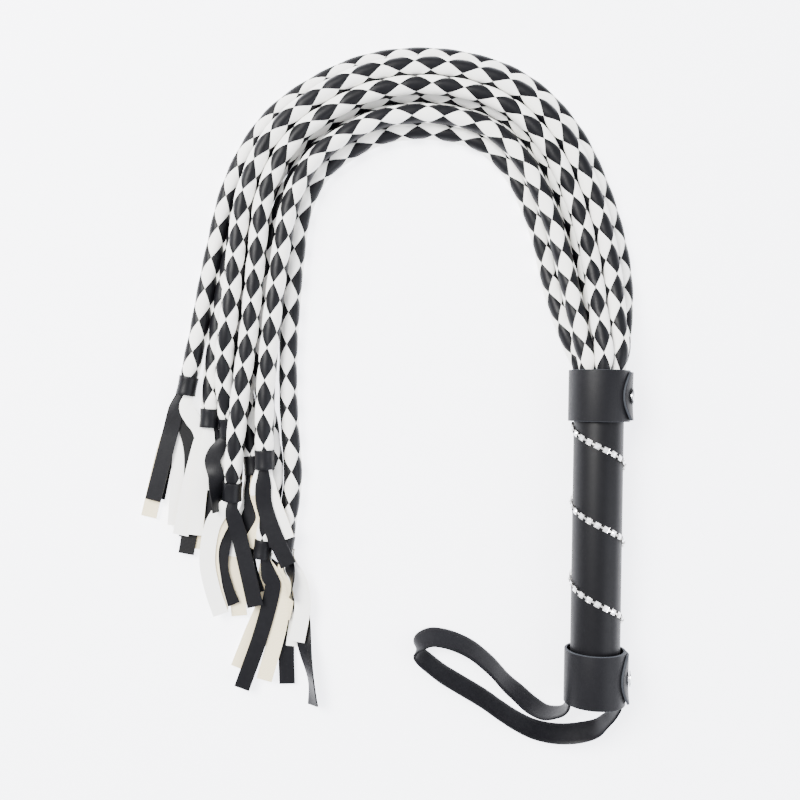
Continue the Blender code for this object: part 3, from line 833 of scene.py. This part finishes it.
def set_link(bm, put):
    """The short bar between two cups."""
    bar = Matrix.Diagonal((STONE_PITCH - CUP + 0.8, 0.9, 0.5, 1))
    bmesh.ops.create_cube(bm, size=1, matrix=put @ Matrix.Translation((0, 0, 0.45)) @ bar)


bm = bmesh.new()
stones = int((CHAIN_ENDS[0] - CHAIN_ENDS[1]) * CHAIN_PER_MM / STONE_PITCH) + 1
for k in range(stones):
    set_stone(bm, *along_chain(k))
    if k < stones - 1:
        set_link(bm, along_chain(k + 0.5)[0])
bmesh.ops.scale(bm, vec=(MM, MM, MM), verts=bm.verts)
chain = shown("cup_chain", bm, (silver, stone), "handle")
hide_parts("crystal_chain")
chain.data.shade_flat()

# ---------------------------------------------------------------------------------------------
# The wrist strap. A flat leather strap folded into a long loop. Both ends are gripped between the
# lower collar and the handle, one on each side, and the loop swings about that line.
STRAP_WIDE = 12.0
STRAP_THICK = 1.2
STRAP_LEAN = np.array([0, -0.72, 0.694])
ROOT_DEPTH = 24.0
# The middle of the strap: held under the collar on the left, round the loop, held on the right
STRAP_ROUTE = [
    (-14.4, 20.5, 0), (-14.4, 12, 0), (-14.4, 3, 0), (-14.4, -1.5, 0), (-15.3, -5.6, -0.2),
    (-19, -8.5, -1.6),
    (-26.2, -10.0, -5.0), (-33.3, -7.2, -9.0), (-40.4, -1.6, -11.6),
    (-47.1, 4.2, -12.3), (-55.7, 13.3, -12.3), (-65.9, 21.5, -12.3), (-75.3, 26.1, -12.3),
    (-83.8, 28.4, -12.3), (-90.3, 28.6, -12.3), (-95.8, 25.9, -12.3), (-97.5, 21.9, -12.3),
    (-95.3, 18.2, -12.3), (-90.6, 14.2, -12.3), (-82.6, 8.2, -12.3), (-74.1, 3.2, -12.3),
    (-59.9, -5.0, -12.3), (-50.5, -11.4, -12.3), (-41.1, -17.3, -12.3), (-31.6, -21.8, -12.2),
    (-23.2, -23.7, -11.6), (-14.8, -23.8, -10.2), (-5.9, -22.1, -8.0), (2.4, -18.6, -5.2),
    (7.0, -13.6, -2.8), (11.2, -8.8, -1.4), (14.0, -3, 0), (14.4, 3, 0), (14.4, 12, 0),
    (14.4, 20.5, 0),
]
strap_leather = leather("strap_leather", (0.002, 0.002, 0.0026, 1), (0.005, 0.005, 0.0065, 1),
                        0.42, 2100.0, 0.07)
strap_path = catmull_rom(STRAP_ROUTE)
strap_long = travelled(strap_path)[-1]
hairpin = travelled(strap_path)[np.argmin(strap_path[:, 0])]


def strap(s, share_across):
    """The strap's outer face: upright where it leaves the collar, then leaning over as it lands."""
    middle = at_distance(strap_path, s)
    tangent = at_distance(strap_path, s + 0.8) - at_distance(strap_path, s - 0.8)
    tangent /= np.linalg.norm(tangent, axis=1)[:, None]
    from_end = np.minimum(s, strap_long - s) - ROOT_DEPTH
    lean = smoothstep(from_end / 32)[:, None]
    across = np.array([0, 0, 1.0]) * (1 - lean) + STRAP_LEAN * lean
    across -= tangent * np.sum(across * tangent, axis=1)[:, None]
    across /= np.linalg.norm(across, axis=1)[:, None]
    through = np.cross(tangent, across)
    floor = -COLLAR + np.abs(across[:, 2]) * STRAP_WIDE / 2 + np.abs(through[:, 2]) * STRAP_THICK / 2
    middle[:, 2] = np.maximum(middle[:, 2], floor)
    width = STRAP_WIDE * (0.9 + 0.1 * smoothstep(from_end / 8))
    side = (2 * share_across - 1) * width / 2
    at = middle + across * side[:, None] + through * STRAP_THICK / 2
    hugging = 1 - smoothstep((from_end + 6) / 8)
    at[:, 0] -= np.sign(middle[:, 0]) * hugging * side**2 / 32
    return at


def strap_half(name, first, last, nodes):
    """Half of the loop, cut at the fold, running between the collar that holds it and the fold."""
    def laid(share_along, share_across):
        return strap(first + share_along * (last - first), share_across)

    bm = bmesh.new()
    lace_sheet(bm, 130, 6, laid, STRAP_THICK)
    rounded_edges(bm, 0.3)
    half = shown(name, bm, (strap_leather,), None)
    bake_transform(half)
    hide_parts(*nodes)


strap_half("wrist_strap_left", 0, hairpin,
           ("strap_end_left", "wrist_strap"))
strap_half("wrist_strap_right", hairpin, strap_long,
           ("strap_end_right", "wrist_strap"))

# ---------------------------------------------------------------------------------------------
# What keeps its CAD shape: the butt disc, the dowel, the leather packing inside the upper collar
# and the two hidden halves of each snap. They only get their real finishes.
for name, finish in (("butt_disc", black_grip), ("handle_core", wood), ("root_bundle", black_lace),
                     ("upper_snap_socket", chrome), ("upper_snap_stud", chrome),
                     ("lower_snap_socket", chrome), ("lower_snap_stud", chrome)):
    for material_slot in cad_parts[name].material_slots:
        material_slot.material = finish
